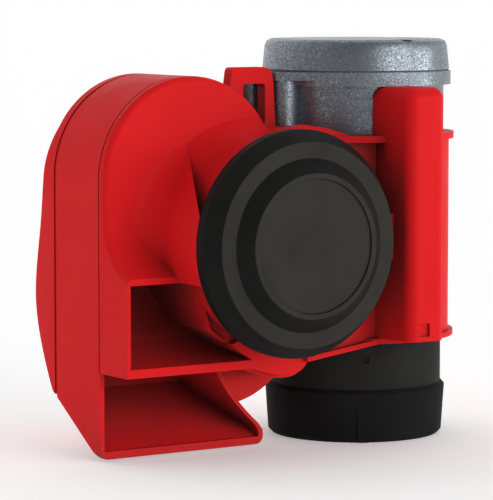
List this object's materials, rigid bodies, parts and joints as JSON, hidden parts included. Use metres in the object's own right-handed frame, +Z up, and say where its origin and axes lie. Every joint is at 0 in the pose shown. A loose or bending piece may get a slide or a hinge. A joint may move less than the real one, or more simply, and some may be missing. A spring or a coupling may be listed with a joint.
{
  "type": "compact electric air horn",
  "caption": "Compact two-tone air horn: coiled trumpet housing with forward mouths and diaphragm drums, clamped round an upright electric compressor.",
  "frame": {"origin": "on the compressor's axis, at the underside of the motor end cap that it stands on", "axes": "+Z up along the compressor's axis; -Y out of the trumpet mouths, the horn's front; +X from the trumpets towards the compressor"},
  "size_m": [0.1114, 0.091, 0.1055],
  "materials": {
    "red_plastic": "satin moulded red",
    "black_plastic": "satin moulded black",
    "case_paint": "semi-matt black paint",
    "cast_alloy": "as cast, fine grain",
    "spring_steel": "bright",
    "yoke_steel": "plain",
    "screw_steel": "zinc plated",
    "seal_rubber": "matt",
    "terminal_brass": "tinned brass",
    "insulator": "moulded insulator",
    "carbon": "pressed carbon",
    "magnet_ferrite": "sintered ferrite",
    "winding_copper": "enamelled copper",
    "bearing_bronze": "sintered bronze",
    "rotor_alloy": "machined",
    "filter_felt": "felt"
  },
  "bodies": {
    "horn": {"front_housing": "red_plastic", "middle_band": "red_plastic", "rear_housing": "red_plastic", "front_diaphragm_cover": "black_plastic", "rear_diaphragm_cover": "black_plastic", "front_diaphragm": "spring_steel", "rear_diaphragm": "spring_steel", "front_diaphragm_seal": "seal_rubber", "rear_diaphragm_seal": "seal_rubber", "motor_case": "case_paint", "motor_end_cap": "black_plastic", "terminal_blades": "terminal_brass", "brush_plate": "insulator", "carbon_brushes": "carbon", "brush_springs": "spring_steel", "motor_yoke": "yoke_steel", "magnets": "magnet_ferrite", "lower_bearing": "bearing_bronze", "upper_bearing": "bearing_bronze", "pump_body": "cast_alloy", "pump_lower_plate": "yoke_steel", "pump_liner": "yoke_steel", "pump_upper_plate": "yoke_steel", "intake_filter": "filter_felt", "head_gasket": "seal_rubber", "pump_cap": "cast_alloy", "cap_screws": "screw_steel", "ear_screws": "screw_steel", "outlet_seal": "seal_rubber"},
    "rotor": {"motor_shaft": "spring_steel", "armature_core": "yoke_steel", "armature_windings": "winding_copper", "commutator": "winding_copper", "pump_rotor": "rotor_alloy", "pump_vanes": "carbon"}
  },
  "joints": [
    {"name": "motor_spin", "type": "hinge", "parent": "horn", "child": "rotor", "pos_m": [0, 0, 0.05], "axis": [0, 0, 1], "continuous": true}
  ]
}
